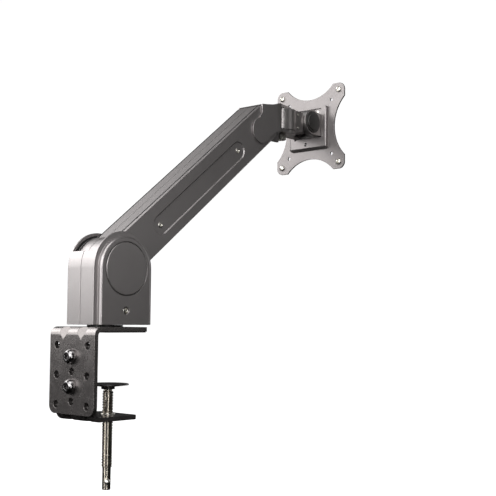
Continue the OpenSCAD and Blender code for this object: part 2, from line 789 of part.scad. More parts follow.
// Shallow obround recess in the arm's side, with 45 degree walls
module arm_recess() {
    floor_y = arm_half - recess_depth;
    floor_r = recess_r - recess_depth;
    for (u = [recess_start, recess_end]) translate([u, floor_y, recess_rise])
        rotate([-90, 0, 0])
            cylinder(r1 = floor_r, r2 = recess_r + past, h = recess_depth + past);
    translate([recess_start, 0, recess_rise]) rotate([90, 0, 90])
        linear_extrude(recess_end - recess_start)
            polygon([[floor_y, -floor_r], [arm_half + past, -recess_r - past],
                     [arm_half + past, recess_r + past], [floor_y, floor_r]]);
}

// Straight 45 degree bevel along one edge of the arm's side
module arm_bevel(z, size) {
    translate([bevel_start, arm_half, z]) rotate([45, 0, 0])
        translate([0, -size / sqrt(2), -size / sqrt(2)])
            cube([2 * arm_len, size * sqrt(2), size * sqrt(2)]);
}

module arm_shell() in_arm() difference() {
    slab(seam / 2, arm_half) arm_outline();
    slab(0, arm_half - arm_wall) arm_hollow();
    arm_recess();
    arm_bevel(arm_top, edge_bevel);
    arm_bevel(-arm_bottom, low_bevel);
    slab(arm_half - edge_groove_in - edge_groove_w, arm_half - edge_groove_in) difference() {
        translate([-2 * hub_r, -2 * hub_r]) square([2 * arm_len, 4 * hub_r]);
        arm_outline(edge_groove_t);
    }
    for (p = [[0, 0], [arm_len, head_pivot_rise]]) translate([p[0], 0, p[1]])
        rod_y(bush_r, 0, arm_half + past);
    for (u = [recess_start, recess_end]) translate([u, 0, recess_rise])
        rod_y(cover_screw_r, 0, arm_half + past);
}
module arm_shell_left() color([0.38, 0.36, 0.36]) arm_shell();
module arm_shell_right() color([0.38, 0.36, 0.36]) mirror([0, 1, 0]) arm_shell();

// Steel channel inside the arm that carries the shafts' bushes
module arm_channel() color([0.33, 0.32, 0.32]) in_arm() {
    web_start = 48;
    web_end = cable_slot_start + 2;
    web_top = arm_top - arm_wall - 0.02;
    difference() {
        both() slab(channel_in, channel_in + channel_t) {
            circle(15);
            translate([arm_len, head_pivot_rise]) circle(14);
            translate([0, -12]) square([arm_len, 24 + head_pivot_rise / 2]);
            translate([web_start, -13]) square([web_end - web_start, web_top + 13]);
        }
        for (p = [[0, 0], [arm_len, head_pivot_rise]]) translate([p[0], 0, p[1]])
            rod_y(bush_r, -arm_half, arm_half);
        for (u = [recess_start, recess_end]) translate([u, 0, recess_rise])
            rod_y(cover_screw_r, -arm_half, arm_half);
        translate([spring_far, 0, spring_rise]) rod_y(spring_pin_r, -arm_half, arm_half);
    }
    translate([web_start, -channel_in - channel_t, web_top - channel_t])
        cube([web_end - web_start, 2 * (channel_in + channel_t), channel_t]);
}

module arm_screws() color([0.1, 0.1, 0.1]) in_arm()
    both() for (u = [recess_start, recess_end]) translate([u, 0, recess_rise]) difference() {
        union() {
            rod_y(3.2, arm_half - recess_depth, arm_half - 0.05);
            rod_y(cover_screw_r, channel_in, arm_half - recess_depth);
        }
        translate([0, arm_half - recess_depth - 0.4, 0]) rotate([-90, 0, 0]) hex(2.5, 3);
    }

module pivot_bushes() both() difference() {
    rod_y(bush_r, channel_in, arm_half);
    rod_y(shaft_r + run_gap, 0, arm_half + past);
}
module lower_bushes() color([0.7, 0.68, 0.6]) in_arm() pivot_bushes();
module upper_bushes() color([0.7, 0.68, 0.6])
    in_arm() translate([arm_len, 0, head_pivot_rise]) pivot_bushes();

module spring_pin_upper() color([0.55, 0.54, 0.52]) in_arm()
    translate([spring_far, 0, spring_rise])
        rod_y(spring_pin_r, -channel_in - channel_t, channel_in + channel_t);

// ---- gas spring ----------------------------------------------------------

module gas_cylinder() color([0.12, 0.12, 0.12]) in_spring() difference() {
    union() {
        rod_x(cylinder_r, cylinder_start, cylinder_end);
        rod_x(5, cylinder_end - past, spring_span - 3);
        translate([spring_span, 0, 0]) rod_y(8, -eye_t / 2, eye_t / 2);
    }
    rod_x(cylinder_r - cylinder_wall, cylinder_start - past, cylinder_end - 4);
    translate([spring_span, 0, 0]) rod_y(spring_pin_r + run_gap, -eye_t, eye_t);
}

module gas_gland() color([0.3, 0.3, 0.3]) in_spring() difference() {
    rod_x(cylinder_r - cylinder_wall, cylinder_start, cylinder_start + gland_len);
    rod_x(rod_r + run_gap, cylinder_start - past, cylinder_start + gland_len + past);
}

module gas_rod() color([0.7, 0.7, 0.7]) in_spring() {
    rod_x(rod_r, eye_r + 1, piston_far);
    rod_x(cylinder_r - cylinder_wall - side_gap, piston_far - piston_t, piston_far);
}

module rod_eye() color([0.45, 0.44, 0.43]) in_spring() difference() {
    union() {
        rod_y(eye_r, -eye_t / 2, eye_t / 2);
        rod_x(rod_r + 1.6, eye_r - 3, 2 * eye_r + 2);
    }
    rod_x(rod_r, eye_r + 1, 3 * eye_r);
    translate(eye_shift) rod_y(spring_pin_r + eye_play, -eye_t, eye_t);
}

// ---- head ----------------------------------------------------------------

module yoke() color([0.2, 0.19, 0.19]) {
    top = yoke_top_z + yoke_plate_t;
    low = yoke_base_z;
    back = head_axis_x - neck_half - knuckle_screw_rise - side_gap;
    barrel_gap = barrel_r + 0.4;
    difference() {
        union() {
            both() slab(lug_in, lug_in + ear_t) {
                translate([upper_x, upper_z]) circle(13);
                translate([upper_x + link_dx, upper_z + link_dz]) circle(8);
                translate([upper_x, upper_z - 9.6]) square([back - upper_x - past, 16]);
            }
            difference() {
                slab(-yoke_half, yoke_half) difference() {
                    polygon([[upper_x + 1.5, yoke_top_z - 3.3], [upper_x + 29.5, yoke_top_z + 0.7],
                             [upper_x + 37.5, top], [back, top], [back, low],
                             [upper_x + 30, low - 8]]);
                    translate([upper_x, upper_z]) circle(arm_end_r + 1);
                }
                translate([head_axis_x, 0, yoke_base_z + yoke_base_t])
                    cylinder(r = barrel_gap, h = yoke_top_z - yoke_base_z - yoke_base_t);
            }
            // plates above and below the barrel
            translate([0, 0, yoke_top_z]) linear_extrude(yoke_plate_t) {
                translate([head_axis_x, 0]) circle(lip_r);
                polygon([[back - past, -yoke_half], [head_axis_x, -lip_r], [head_axis_x, lip_r],
                         [back - past, yoke_half]]);
            }
            translate([0, 0, low]) linear_extrude(yoke_base_t) {
                translate([head_axis_x, 0]) circle(base_lip_r);
                translate([back - past, -yoke_half]) square([head_axis_x - back, 2 * yoke_half]);
            }
        }
        wide = yoke_half + past;
        translate([upper_x, 0, upper_z]) rod_y(shaft_r, -wide, wide);
        translate([upper_x + link_dx, 0, upper_z + link_dz]) rod_y(pin_r, -wide, wide);
        translate([head_axis_x, 0, low - past]) cylinder(r = head_pin_r, h = 2 * barrel_h);
    }
}

// Side cover of the yoke with its curved rear edge
module head_cover() {
    slab(yoke_half, yoke_half + cover_t) translate([upper_x, upper_z]) {
        circle(cover_boss_r);
        polygon(cover_edge);
    }
}
module head_cover_left() color([0.32, 0.3, 0.3]) head_cover();
module head_cover_right() color([0.32, 0.3, 0.3]) mirror([0, 1, 0]) head_cover();

module upper_shaft() color([0.55, 0.54, 0.52])
    translate([upper_x, 0, upper_z]) rod_y(shaft_r, -upper_shaft_half, upper_shaft_half);

module link_pin_upper() color([0.55, 0.54, 0.52])
    translate([upper_x + link_dx, 0, upper_z + link_dz])
        rod_y(pin_r, -lug_in - ear_t, lug_in + ear_t);

module head_pin() color([0.5, 0.49, 0.47])
    translate([head_axis_x, 0, 0]) {
        translate([0, 0, yoke_base_z - head_nut_h])
            cylinder(r = head_pin_r, h = yoke_top_z + yoke_plate_t - yoke_base_z + head_nut_h + past);
        translate([0, 0, yoke_top_z + yoke_plate_t]) intersection() {
            cylinder(r = head_pin_head_r, h = head_pin_head_h);
            translate([0, 0, head_pin_head_h - head_pin_head_r * 1.3]) sphere(r = head_pin_head_r * 1.3);
        }
    }

module head_pin_nut() color([0.5, 0.49, 0.47])
    translate([head_axis_x, 0, yoke_base_z - head_nut_h]) difference() {
        hex(head_nut_af, head_nut_h);
        translate([0, 0, -past]) cylinder(r = head_pin_r, h = head_nut_h + 2 * past);
    }

// ---- knuckle -------------------------------------------------------------

module knuckle() color([0.22, 0.21, 0.21]) difference() {
    union() {
        translate([head_axis_x, 0, barrel_z]) cylinder(r = barrel_r, h = barrel_h);
        translate([head_axis_x, -neck_half, barrel_z + 1])
            cube([tilt_reach - tilt_r - 0.6, 2 * neck_half, barrel_h - 2]);
        slab(-tongue_half, tongue_half) {
            translate([tilt_x, tilt_z]) circle(tongue_r);
            translate([head_axis_x + 15, tilt_z - 13]) square([tilt_reach - 15, 23]);
        }
    }
    translate([head_axis_x, 0, barrel_z - past])
        cylinder(r = head_pin_r + run_gap, h = barrel_h + 2 * past);
    translate([tilt_x, 0, tilt_z])
        rod_y(tilt_bolt_r + run_gap, -tongue_half - past, tongue_half + past);
}

module knuckle_screws() color([0.6, 0.58, 0.55])
    for (z = [tilt_z - 12, tilt_z + 6])
        translate([head_axis_x + 13, 0, z]) rod_y(1.8, -neck_half - knuckle_screw_rise, -neck_half);

// ---- tilt block ----------------------------------------------------------

module tilt_block() color([0.24, 0.23, 0.23]) difference() {
    union() {
        both() slab(tongue_half + side_gap, tilt_half) {
            translate([tilt_x, tilt_z]) circle(tilt_r);
            polygon([[tilt_x, tilt_z - tilt_r], [recess_floor_x, tilt_z - tilt_r],
                     [recess_floor_x, tilt_z + 13], [tilt_x, tilt_z + tilt_r]]);
        }
        slab(-tilt_half, tilt_half)
            translate([foot_x, tilt_z - tilt_r])
                square([recess_floor_x - foot_x, tilt_r + 13]);
    }
    translate([tilt_x, 0, tilt_z]) {
        rod_y(tilt_bolt_r, -tilt_half - past, tilt_half + past);
        both() rod_y(8, tilt_half - 5, tilt_half + past);
        both() rod_y(tilt_cap_r + 0.2, tilt_half - 0.5, tilt_half + past);
    }
}

module tilt_bolt() color([0.5, 0.49, 0.47]) translate([tilt_x, 0, tilt_z]) {
    rod_y(tilt_bolt_r, -tilt_half + 0.9, tilt_half - 2);
    rod_y(6.5, -tilt_half + 0.9, -tilt_half + 5);
}

module tilt_nut() color([0.5, 0.49, 0.47]) translate([tilt_x, tilt_half - 5, tilt_z])
    rotate([-90, 0, 0]) difference() {
        hex(13, 4);
        translate([0, 0, -past]) cylinder(r = tilt_bolt_r, h = 6);
    }

// Round cap with a low flange and a raised middle
module tilt_cap() translate([tilt_x, 0, tilt_z]) rotate([-90, 0, 0]) rotate_extrude() {
    soft_rect([0, tilt_half - 0.5], [tilt_cap_r, tilt_half + tilt_cap_flange], 0.7, [0, 0, 1, 0]);
    soft_rect([0, tilt_half], [tilt_cap_r - tilt_cap_step, tilt_half + tilt_cap_rise], 1,
              [0, 0, 1, 0]);
}
module tilt_cap_left() color([0.1, 0.1, 0.1]) tilt_cap();
module tilt_cap_right() color([0.1, 0.1, 0.1]) mirror([0, 1, 0]) tilt_cap();

// ---- screen plate --------------------------------------------------------

// An outline in (Y, Z) about the plate's middle, extruded along X
module facing(x0, x1) {
    translate([x0, 0, plate_z]) rotate([90, 0, 90]) linear_extrude(x1 - x0) children();
}

module receiver() color([0.22, 0.21, 0.21]) difference() {
    facing(receiver_x, plate_x)
        soft_rect([-receiver_w / 2, -receiver_h / 2], [receiver_w / 2, receiver_h / 2], 3);
    facing(receiver_x - past, recess_floor_x)
        soft_rect([-receiver_w / 2 + receiver_side_rim, -receiver_h / 2 + receiver_low_rim],
                  [receiver_w / 2 - receiver_side_rim, receiver_h / 2 - receiver_top_rim], 1.5);
    translate([receiver_x, 0, plate_z - receiver_h / 2]) rotate([0, 45, 0])
        cube([receiver_bevel * sqrt(2), 2 * receiver_w, receiver_bevel * sqrt(2)], center = true);
    translate([0, lock_screw_y, plate_z - receiver_h / 2 + lock_screw_rise])
        rod_x(screen_screw_r, receiver_x - past, plate_x + past);
    for (y = [-rivet_y, rivet_y], z = rivet_rows) translate([0, y, plate_z + z])
        rod_x(screen_screw_r, recess_floor_x - past, plate_x + past);
}

module receiver_screw() color([0.6, 0.58, 0.55])
    translate([0, lock_screw_y, plate_z - receiver_h / 2 + lock_screw_rise]) {
        rod_x(screen_screw_r + 0.6, receiver_x - 0.8, receiver_x);
        rod_x(screen_screw_r, receiver_x - 0.4, plate_x);
    }

module receiver_rivets() color([0.5, 0.49, 0.47])
    for (y = [-rivet_y, rivet_y], z = rivet_rows)
        translate([0, y, plate_z + z]) rod_x(screen_screw_r, recess_floor_x, plate_x + plate_t);

module screen_plate() color([0.2, 0.19, 0.19]) {
    half = vesa_wide / 2 + lobe_r;
    scoop_r = 55.6;
    facing(plate_x, plate_x + plate_t) difference() {
        soft_rect([-half, -half], [half, half], lobe_r);
        for (a = [0:90:270]) rotate(a) translate([waist + scoop_r, 0]) circle(scoop_r);
        for (y = [-1, 1], z = [-1, 1]) {
            translate([y, z] * vesa_wide / 2) circle(vesa_hole_r);
            translate([y, z] * vesa_narrow / 2) circle(vesa_hole_r);
        }
        for (y = [-rivet_y, rivet_y], z = rivet_rows) translate([y, z]) circle(screen_screw_r);
    }
}

module screen_screws() color([0.7, 0.7, 0.68])
    for (y = [-1, 1], z = [-1, 1])
        translate([0, y * vesa_wide / 2, plate_z + z * vesa_wide / 2]) difference() {
            union() {
                rod_x(screen_screw_head_r, plate_x - screen_screw_head_h, plate_x);
                rod_x(screen_screw_neck_r, plate_x - past, plate_x + plate_t);
                rod_x(screen_screw_r, plate_x + plate_t, plate_x + plate_t + screen_screw_reach);
            }
            translate([plate_x - screen_screw_head_h - past, 0, 0]) rotate([0, 90, 0])
                hex(2.6, past + 1.4);
        }

// ---- sub-parts drawn -----------------------------------------------------

upper_bracket();
desk_pad();
lower_jaw();
jaw_nut();
jaw_bolts();
jaw_bolt_nuts();
swivel_post();
swivel_disc();
post_washer();
post_nut();
pressure_disc();
screw_rod();
tommy_bar();
base_frame();
swivel_bush();
housing_left();
housing_right();
pivot_cap_left();
pivot_cap_right();
housing_screws();
lower_shaft();
lower_washers();
lower_nuts();
link_pin_lower();
spring_pin_lower();
parallel_link();
arm_shell_left();
arm_shell_right();
arm_channel();
arm_screws();
lower_bushes();
upper_bushes();
spring_pin_upper();
gas_cylinder();
gas_gland();
gas_rod();
rod_eye();
yoke();
head_cover_left();
head_cover_right();
upper_shaft();
link_pin_upper();
head_pin();
head_pin_nut();
knuckle();
knuckle_screws();
tilt_block();
tilt_bolt();
tilt_nut();
tilt_cap_left();
tilt_cap_right();
receiver();
receiver_screw();
receiver_rivets();
screen_plate();
screen_screws();
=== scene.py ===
"""Looks for the gas-sprung desk arm: finishes, softened edges, fasteners, light and camera."""

import json
import math

import bmesh
import bpy
from mathutils import Matrix, Vector


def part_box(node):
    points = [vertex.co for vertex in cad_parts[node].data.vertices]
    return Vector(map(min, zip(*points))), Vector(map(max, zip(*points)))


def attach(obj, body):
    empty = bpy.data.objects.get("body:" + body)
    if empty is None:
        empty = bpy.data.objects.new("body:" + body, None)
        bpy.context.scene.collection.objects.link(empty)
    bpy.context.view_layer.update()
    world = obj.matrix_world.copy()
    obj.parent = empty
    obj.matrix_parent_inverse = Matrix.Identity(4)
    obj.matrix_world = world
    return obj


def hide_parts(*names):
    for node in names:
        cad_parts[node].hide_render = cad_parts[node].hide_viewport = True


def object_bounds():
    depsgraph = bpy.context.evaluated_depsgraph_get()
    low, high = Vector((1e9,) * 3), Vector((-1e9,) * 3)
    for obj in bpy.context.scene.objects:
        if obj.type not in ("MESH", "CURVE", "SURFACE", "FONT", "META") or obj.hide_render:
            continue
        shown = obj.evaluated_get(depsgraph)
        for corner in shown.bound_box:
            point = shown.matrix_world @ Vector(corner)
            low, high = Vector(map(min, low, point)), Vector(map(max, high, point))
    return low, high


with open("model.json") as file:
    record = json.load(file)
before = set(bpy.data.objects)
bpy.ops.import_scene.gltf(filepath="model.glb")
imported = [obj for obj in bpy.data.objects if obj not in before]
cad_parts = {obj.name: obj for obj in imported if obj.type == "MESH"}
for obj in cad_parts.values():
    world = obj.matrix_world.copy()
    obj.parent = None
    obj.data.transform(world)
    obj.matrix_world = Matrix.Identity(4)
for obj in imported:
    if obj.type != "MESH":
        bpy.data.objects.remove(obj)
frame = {"nodes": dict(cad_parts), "record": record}
cad_low, cad_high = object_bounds()

bl_info = {
    "name": "Desk Arm Looks",
    "version": (1, 0, 0),
    "blender": (4, 5, 0),
    "location": "View3D > Sidebar > Desk Arm",
    "description": "Dresses a packed desk arm with softened edges, fasteners and finishes",
    "category": "Object",
}

BODY_OF = {node: body for body, nodes in frame["record"]["behaviour"]["bodies"].items()
           for node in nodes}
SLOT_OF = {row["node"]: row["material_slot"] for row in frame["record"]["subparts"]}
FINISHES = {}                   # name of a finish to its material, made by the first operator

MM = 0.001
X, Y, Z = range(3)

# Rounding of edges. The brackets, pivot caps and head covers take theirs from the panel.
HAIR_EDGE = 0.2 * MM            # pins, rivets, set screws and the tommy bar
CRISP_EDGE = 0.3 * MM           # extrusions, bars, bolts and small turned pieces
BROKEN_EDGE = 0.4 * MM          # the pressure disc, the base frame and the receiver
HOUSING_EDGE = 0.5 * MM
CAST_EDGE = 0.6 * MM            # the yoke, the knuckle, the tilt block and the screen plate
RECEIVER_RIM = 2.5 * MM         # the receiver's face, at its sides and its foot

# How the solids' faces are read
SAME_POINT = 2e-6               # points nearer than this are one
FLAT_TURN = math.radians(0.6)   # faces that turn less than this are one flat face
SHARP_TURN = math.radians(28)   # edges that turn more than this are rounded
ON_SIDE = 0.1 * MM              # a point this near a box's side lies on it
FAR_BELOW = (0, 0, -9)          # a place where nothing is

# Where painted shade darkens the paint: the inward walls and the arm's joint
INWARD = 0.004                  # least metres off the middle plane, times the turn towards it
LOOKS_UP = 0.4                  # least Z part of the normal of a face that looks up
JOINT_INSETS = (4.2 * MM, 1.6 * MM)     # the joint beside the arm's upper edges, from its side; painted shade darkens it
HOUSING_RIM = 3.2 * MM          # rim round the inside of a housing that the painted shade leaves out

# Lights: name, place, width and height, watts. They all look at one point.
LIT_POINT = Vector((0.12, 0.0, 0.1))
LIGHTS = (
    ("key", (-1.155, 0.8, 0.6), (1.9, 1.1), 22),
    ("side", (-1.19, -0.7, 0.65), (1.4, 1.1), 24),
    ("bend", (-0.335, 1.4, 0.95), (0.9, 0.8), 9.5),
    ("back_top", (0.1, 1.25, 1.35), (1.0, 0.8), 2.6),
    ("top", (-0.5, -0.43, 1.5), (1.1, 0.9), 12),
    ("fill", (0.95, -1.5, 0.42), (0.6, 0.7), 0.9),
    ("strip", (-0.68, -1.39, 0.1), (0.16, 1.2), 4),
    ("edge", (-1.6, 0.05, 0.05), (0.5, 1.0), 6),
    ("front", (2.0, 0.5, 0.5), (1.6, 1.2), 9),
)
ROOM_LIGHT = 0.22               # strength of the dim room round the lights
ROOM_SHADES = ((0.35, 0.02), (0.5, 0.12), (0.9, 0.3))   # from the room's foot to its top
FLOOR_DROP = 0.12               # from the part's lowest point to the backdrop

# The camera: its place, where it looks (turned from +Y, raised, rolled) and its lens in mm
VIEW_PLACE = (-0.7299, -0.8617, 0.0144)
VIEW_TURN, VIEW_RISE, VIEW_ROLL = (math.radians(a) for a in (48.11, 4.138, 0.475))
LENS, SENSOR_WIDTH = 72.58, 36.0


# ---- shader maths ----------------------------------------------------------------

class Link:
    """A shader socket that Python's operators can work on."""

    def __init__(self, nodes, socket):
        self.nodes, self.socket = nodes, socket

    def __add__(self, other):
        return self.nodes.maths("ADD", self, other)

    def __mul__(self, other):
        return self.nodes.maths("MULTIPLY", self, other)

    def __sub__(self, other):
        return self.nodes.maths("SUBTRACT", self, other)

    def __rsub__(self, other):
        return self.nodes.maths("SUBTRACT", other, self)

    def __gt__(self, other):
        return self.nodes.maths("GREATER_THAN", self, other)

    def __lt__(self, other):
        return self.nodes.maths("LESS_THAN", self, other)

    __radd__ = __add__
    __rmul__ = __mul__


class Nodes:
    """A tree of shader nodes."""

    def __init__(self, tree):
        self.tree = tree

    def node(self, kind, settings=None, inputs=None, out=0):
        """Adds a node: its settings, then the values or links of its sockets.

        Returns one of its outputs.
        """
        made = self.tree.nodes.new(kind)
        for key, value in (settings or {}).items():
            if key == "stops":
                self.set_stops(made.color_ramp, value)
            else:
                setattr(made, key, value)
        for key, value in (inputs or {}).items():
            if isinstance(value, Link):
                self.join(value, made.inputs[key])
            else:
                made.inputs[key].default_value = value
        return Link(self, made.outputs[out])

    def join(self, link, socket):
        """Leads a link into a socket."""
        self.tree.links.new(link.socket, socket)

    @staticmethod
    def set_stops(ramp, stops):
        """Gives a ramp its greys, as pairs of a place and a level."""
        while len(ramp.elements) < len(stops):
            ramp.elements.new(0.5)
        for element, (place, level) in zip(ramp.elements, stops):
            element.position = place
            element.color = (level, level, level, 1)

    def maths(self, operation, *values):
        """One Math node on numbers or links."""
        return self.node("ShaderNodeMath", {"operation": operation}, dict(enumerate(values)))

    def coordinate(self, kind):
        """Where the surface is, or its normal: Object, Generated or Normal."""
        return self.node("ShaderNodeTexCoord", out=kind)

    def part(self, axis, vector):
        """The X, Y or Z part of a vector."""
        return self.node("ShaderNodeSeparateXYZ", None, {"Vector": vector}, out=axis)

    def ramp(self, value, *stops):
        """Greys along a value, from stops of a place and a level."""
        return self.node("ShaderNodeValToRGB", {"stops": stops}, {"Fac": value})


class Finish(Nodes):
    """A material with its Principled shader."""

    MIX_FACTOR, MIX_FIRST, MIX_SECOND, MIX_RESULT = 0, 6, 7, 2    # a Mix node's colour sockets

    def __init__(self, name, **constants):
        self.material = bpy.data.materials.new(name)
        self.material.use_nodes = True
        super().__init__(self.material.node_tree)
        self.shader = next(n for n in self.tree.nodes if n.type == "BSDF_PRINCIPLED")
        for socket, value in constants.items():
            self.shader.inputs[socket.replace("_", " ")].default_value = value

    def feed(self, socket, link):
        """Leads a link into one of the shader's sockets."""
        self.join(link, self.shader.inputs[socket])

    def place(self):
        """Position on the piece, in metres, which moves with it."""
        return self.coordinate("Object")

    def noise(self, size, detail=2.0, rough=0.5, stretch=None):
        """Noise whose features are about size metres across, from 0 to 1."""
        where = self.place()
        if stretch:
            where = self.node("ShaderNodeMapping", {"vector_type": "POINT"},
                              {"Vector": where, "Scale": stretch})
        return self.node("ShaderNodeTexNoise", None,
                         {"Vector": where, "Scale": 1 / size, "Detail": detail,
                          "Roughness": rough}, out="Fac")

    def blend(self, amount, first, second):
        """A colour between two colours."""
        return self.node("ShaderNodeMix", {"data_type": "RGBA"},
                         {self.MIX_FACTOR: amount, self.MIX_FIRST: first,
                          self.MIX_SECOND: second}, out=self.MIX_RESULT)

    def mottle(self, colour, value, between, shades):
        """The darker of two shades of a colour where value is low, the lighter where high."""
        dark, light = shades
        amount = self.ramp(value, (between[0], 0.0), (between[1], 1.0))
        return self.blend(amount, shade(colour, dark), shade(colour, light))

    def bump(self, height, depth):
        """Raises the surface by depth metres for each unit of height."""
        self.feed("Normal", self.node("ShaderNodeBump", None,
                                      {"Height": height, "Distance": depth}))


def shade(colour, factor):
    """A colour with its opacity, darker or lighter by a factor."""
    return [min(1.0, c * factor) for c in colour[:3]] + [1.0]


# ---- masks: 1 where something shows, 0 elsewhere ---------------------------------

def faces_inward(made):
    """The walls that face the arm's middle plane."""
    turned_in = made.part("Y", made.place()) * made.part("Y", made.coordinate("Normal"))
    return (turned_in * -1.0) > INWARD


def near_axis(made, centre, reach):
    """What lies within reach of the line across the arm through centre."""
    flat = made.node("ShaderNodeVectorMath", {"operation": "MULTIPLY"},
                     {0: made.place(), 1: (1.0, 0.0, 1.0)})
    away = made.node("ShaderNodeVectorMath", {"operation": "DISTANCE"},
                     {0: flat, 1: (centre.x, 0.0, centre.z)}, out="Value")
    return away < reach


def on_top_between(made, low, high):
    """Faces that look up and lie from low to high off the middle plane."""
    off = made.maths("ABSOLUTE", made.part("Y", made.place()))
    up = made.part("Z", made.coordinate("Normal"))
    return (off > low) * (off < high) * (up > LOOKS_UP)


# ---- finishes --------------------------------------------------------------------

# near-black painted shade for the walls inside the arm and the housing and for the arm's joint
PAINTED_SHADE = (0.006, 0.006, 0.006, 1.0)
SHADE_ROUGHER = 0.3              # how much rougher the painted shade is than the paint beside it
LINES_ALONG_Z = (1.0, 1.0, 0.04)        # stretches noise into the lines of drawn metal
LINES_ROUND_Z = (0.05, 0.05, 1.0)       # and into those of turned metal


def paint(name, colour, smoothest, metal, grain, depth, shade_mask=None):
    """Sprayed paint: fine grain in the surface, faint mottling and an uneven gloss.

    Where the mask passed in is 1, near-black painted shade covers the paint, rougher and without
    metal.
    """
    made = Finish(name, Metallic=metal)
    fine = made.noise(grain, detail=2, rough=0.6)
    clouds = made.noise(size=0.03, detail=3)
    skin = made.blend(0.5,
                      made.mottle(colour, clouds, between=(0.3, 0.7), shades=(0.94, 1.07)),
                      made.mottle(colour, fine, between=(0.35, 0.65), shades=(0.9, 1.1)))
    gloss = made.noise(size=0.012, detail=3) * 0.12 + smoothest
    if shade_mask:
        # painted shade: the paint turns near-black where the mask is 1
        shaded = shade_mask(made)
        skin = made.blend(shaded, skin, PAINTED_SHADE)
        gloss = gloss + shaded * SHADE_ROUGHER
        made.feed("Metallic", metal - shaded * metal)
    made.feed("Base Color", skin)
    made.feed("Roughness", gloss)
    made.bump(fine, depth)
    return made.material


def moulded_plastic(name, colour, smoothest, grain):
    """Moulded plastic with a spark-eroded grain and a little waviness."""
    made = Finish(name)
    fine = made.noise(grain)
    waves = made.noise(size=0.02)
    made.feed("Base Color", made.mottle(colour, waves, between=(0.3, 0.7), shades=(0.95, 1.06)))
    made.feed("Roughness", waves * 0.08 + fine * 0.06 + smoothest)
    made.bump(fine + waves * 6, depth=0.00003)
    return made.material


def turned_steel(name, colour, smoothest, stretch=LINES_ROUND_Z):
    """Steel with the fine lines that turning or drawing leaves."""
    made = Finish(name, Metallic=1.0)
    lines = made.noise(size=0.0006, detail=3, rough=0.6, stretch=stretch)
    stain = made.noise(size=0.008, detail=4)
    made.feed("Base Color", made.mottle(colour, stain, between=(0.35, 0.7), shades=(0.82, 1.05)))
    made.feed("Roughness", lines * 0.14 + stain * 0.08 + smoothest)
    made.bump(lines, depth=0.00002)
    return made.material


def plated_steel(name, colour, smoothest):
    """Bright plated steel with faint spots and a soft ripple."""
    made = Finish(name, Metallic=1.0)
    spots = made.noise(size=0.002, detail=4)
    made.feed("Base Color", made.mottle(colour, spots, between=(0.4, 0.65), shades=(0.85, 1.04)))
    made.feed("Roughness", spots * 0.15 + smoothest)
    made.bump(spots, depth=0.00002)
    return made.material


def foam(name, colour):
    """Closed-cell foam: small pits all over."""
    made = Finish(name, Roughness=0.9)
    pits = made.node("ShaderNodeTexVoronoi", None, {"Vector": made.place(), "Scale": 1400.0},
                     out="Distance")
    made.feed("Base Color", made.blend(pits, shade(colour, 0.6), shade(colour, 1.2)))
    made.bump(pits, depth=0.0001)
    return made.material


def make_finishes(looks):
    """A material for each slot of the record, and one for the clamp screw's thread."""
    arm_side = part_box("arm_shell_left")[1].y
    low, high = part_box("housing_left")
    shaft_low, shaft_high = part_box("lower_shaft")
    pivot = (shaft_low + shaft_high) / 2
    rim = (high.x - low.x) / 2 - HOUSING_RIM

    def arm_painted_shade(made):
        """Where shade is painted: the walls that face inward, and the joint beside the arm's
        upper edges.
        """
        joint = on_top_between(made, *(arm_side - inset for inset in JOINT_INSETS))
        return made.maths("MAXIMUM", faces_inward(made), joint)

    def housing_painted_shade(made):
        """Where shade is painted: the walls that face inward, but not the rim round them, which
        keeps its paint.
        """
        return faces_inward(made) * near_axis(made, pivot, rim)

    arm = {"colour": looks.arm_colour, "smoothest": 0.3, "metal": 0.8, "grain": 0.0005,
           "depth": 0.00001}
    return {
        "powder_coat": paint("powder_coat_bracket", looks.bracket_colour, smoothest=0.2,
                             metal=0.9, grain=0.0009, depth=0.00005),
        "head_paint": paint("satin_paint_head", looks.head_colour, smoothest=0.26,
                            metal=0.85, grain=0.0005, depth=0.00001),
        "plate_paint": paint("satin_paint_plate", looks.plate_colour, smoothest=0.34,
                             metal=0.75, grain=0.0006, depth=0.00001),
        # the arm's paint turns to painted shade on its inward walls and in its joint
        "arm_paint": paint("satin_paint_arm", **arm, shade_mask=arm_painted_shade),
        # the housing's paint turns to painted shade on its inward walls
        "housing_plastic": paint("satin_paint_housing", **arm, shade_mask=housing_painted_shade),
        "black_plastic": moulded_plastic("black_moulding", (0.022, 0.021, 0.02),
                                         smoothest=0.29, grain=0.0006),
        "foam_rubber": foam("desk_pad_foam", (0.02, 0.02, 0.02)),
        "zinc_steel": turned_steel("zinc_plated_sheet", (0.55, 0.55, 0.53), smoothest=0.31,
                                   stretch=LINES_ALONG_Z),
        "bright_steel": turned_steel("turned_steel", (0.78, 0.76, 0.7), smoothest=0.19),
        "oiled_thread": turned_steel("oiled_thread", (0.5, 0.46, 0.4), smoothest=0.13),
        "black_steel": moulded_plastic("black_enamel", (0.016, 0.015, 0.015),
                                       smoothest=0.23, grain=0.0008),
        "black_bolt": plated_steel("black_chrome_bolt", (0.28, 0.27, 0.27), smoothest=0.11),
        "chrome_rod": plated_steel("chrome_rod", (0.8, 0.8, 0.8), smoothest=0.05),
        "bush_brass": turned_steel("bush_brass", (0.7, 0.55, 0.3), smoothest=0.24),
    }


# ---- pieces ----------------------------------------------------------------------

def object_from(bm, name):
    """Turns a bmesh into an object of the scene, with its faces looking out."""
    mesh = bpy.data.meshes.new(name)
    bmesh.ops.recalc_face_normals(bm, faces=bm.faces)
    bm.to_mesh(mesh)
    bm.free()
    made = bpy.data.objects.new(name, mesh)
    bpy.context.collection.objects.link(made)
    return made


def moved(piece, *steps):
    """Moves a piece's mesh by matrices, the first one first."""
    for step in steps:
        piece.data.transform(step)
    return piece


